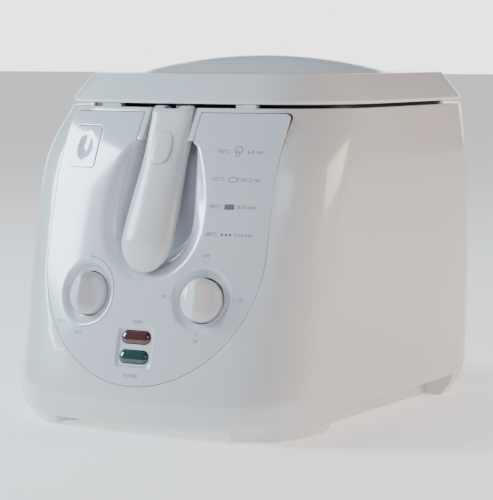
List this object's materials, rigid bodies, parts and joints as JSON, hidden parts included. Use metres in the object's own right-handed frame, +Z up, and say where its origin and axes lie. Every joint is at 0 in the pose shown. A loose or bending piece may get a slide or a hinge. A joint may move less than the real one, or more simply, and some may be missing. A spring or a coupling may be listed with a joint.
{
  "type": "deep fryer",
  "caption": "Household deep fryer: bowed white housing, hinged lid, folding basket handle, two front knobs, heated oil bowl.",
  "frame": {"origin": "on the ground under the middle of the footprint", "axes": "+Z up, front towards -Y, +X to the right seen from the front"},
  "size_m": [0.2602, 0.344, 0.268],
  "materials": {
    "housing_white": "glossy moulded polypropylene, white",
    "pan_white": "glossy moulded polypropylene, white",
    "panel_white": "glossy moulded plastic, white with grey print",
    "lid_white": "glossy moulded polypropylene, white",
    "handle_white": "satin-gloss moulded plastic, white",
    "knob_white": "glossy moulded plastic, white",
    "lens_red": "translucent dark red lens",
    "lens_green": "translucent dark green lens",
    "lamp_glass": "clear neon lamp glass",
    "inner_plastic": "natural heat-resistant plastic",
    "black_plastic": "black moulded phenolic",
    "steel": "plated mild steel",
    "bowl_coated": "pressed aluminium with dark non-stick coating",
    "cast_aluminium": "plain aluminium",
    "basket_chrome": "bright plated wire",
    "rubber_grey": "grey rubber",
    "seal_rubber": "pale silicone rubber",
    "filter_metal": "knitted aluminium mesh",
    "filter_carbon": "charcoal-loaded felt"
  },
  "bodies": {
    "housing": {"outer_housing": "housing_white", "base_pan": "pan_white", "foot_pads": "rubber_grey", "base_screws": "steel", "control_panel": "panel_white", "thermostat_case": "black_plastic", "timer_case": "steel", "red_lens": "lens_red", "green_lens": "lens_green", "neon_lamps": "lamp_glass", "lamp_holder": "inner_plastic", "oil_bowl": "bowl_coated", "heat_shield": "steel", "heater_plate": "cast_aluminium", "heating_element": "steel", "thermal_cutout": "steel", "terminal_block": "inner_plastic", "cord_gland": "rubber_grey", "lid_rests": "seal_rubber", "hinge_pins": "steel"},
    "thermostat": {"thermostat_knob": "knob_white", "thermostat_shaft": "steel"},
    "timer": {"timer_knob": "knob_white", "timer_shaft": "steel"},
    "release": {"lid_release_button": "panel_white", "latch_hook": "inner_plastic", "release_spring": "steel"},
    "basket": {"basket_shell": "basket_chrome", "basket_rim": "basket_chrome", "basket_bracket": "basket_chrome"},
    "handle": {"handle_front_shell": "handle_white", "handle_rear_shell": "handle_white", "handle_pivot_pin": "steel"},
    "catch": {"handle_catch": "handle_white"},
    "lid": {"lid_cover": "lid_white", "filter_cover": "lid_white", "lid_liner": "inner_plastic", "filter_frame": "inner_plastic", "grease_filter": "filter_metal", "charcoal_filter": "filter_carbon", "lid_seal": "seal_rubber", "lid_catch": "inner_plastic"}
  },
  "joints": [
    {"name": "thermostat_turn", "type": "hinge", "parent": "housing", "child": "thermostat", "pos_m": [-0.048, -0.1515, 0.0983], "axis": [0.1153, 0.9639, -0.2398], "range_deg": [0, 180]},
    {"name": "timer_turn", "type": "hinge", "parent": "housing", "child": "timer", "pos_m": [0.048, -0.1515, 0.0983], "axis": [-0.1153, 0.9639, -0.2398], "range_deg": [0, 315]},
    {"name": "release_press", "type": "slide", "parent": "housing", "child": "release", "axis": [0, 1, 0], "range_m": [0, 0.003], "stiffness_N_per_m": 600},
    {"name": "lid_hinge", "type": "hinge", "parent": "housing", "child": "lid", "pos_m": [0, 0.156, 0.24], "axis": [-1, 0, 0], "range_deg": [0, 88]},
    {"name": "basket_lift", "type": "slide", "parent": "housing", "child": "basket", "axis": [0, 0, 1], "range_m": [0, 0.045]},
    {"name": "handle_fold", "type": "hinge", "parent": "basket", "child": "handle", "pos_m": [0, -0.10778, 0.2235], "axis": [-1, 0, 0], "range_deg": [0, 80]},
    {"name": "catch_press", "type": "slide", "parent": "handle", "child": "catch", "axis": [0, 1, 0], "range_m": [0, 0.0025], "stiffness_N_per_m": 300}
  ],
  "couplings": [
    {"joint": "basket_lift", "follows": "lid_hinge", "m_per_rad": 0.029}
  ]
}
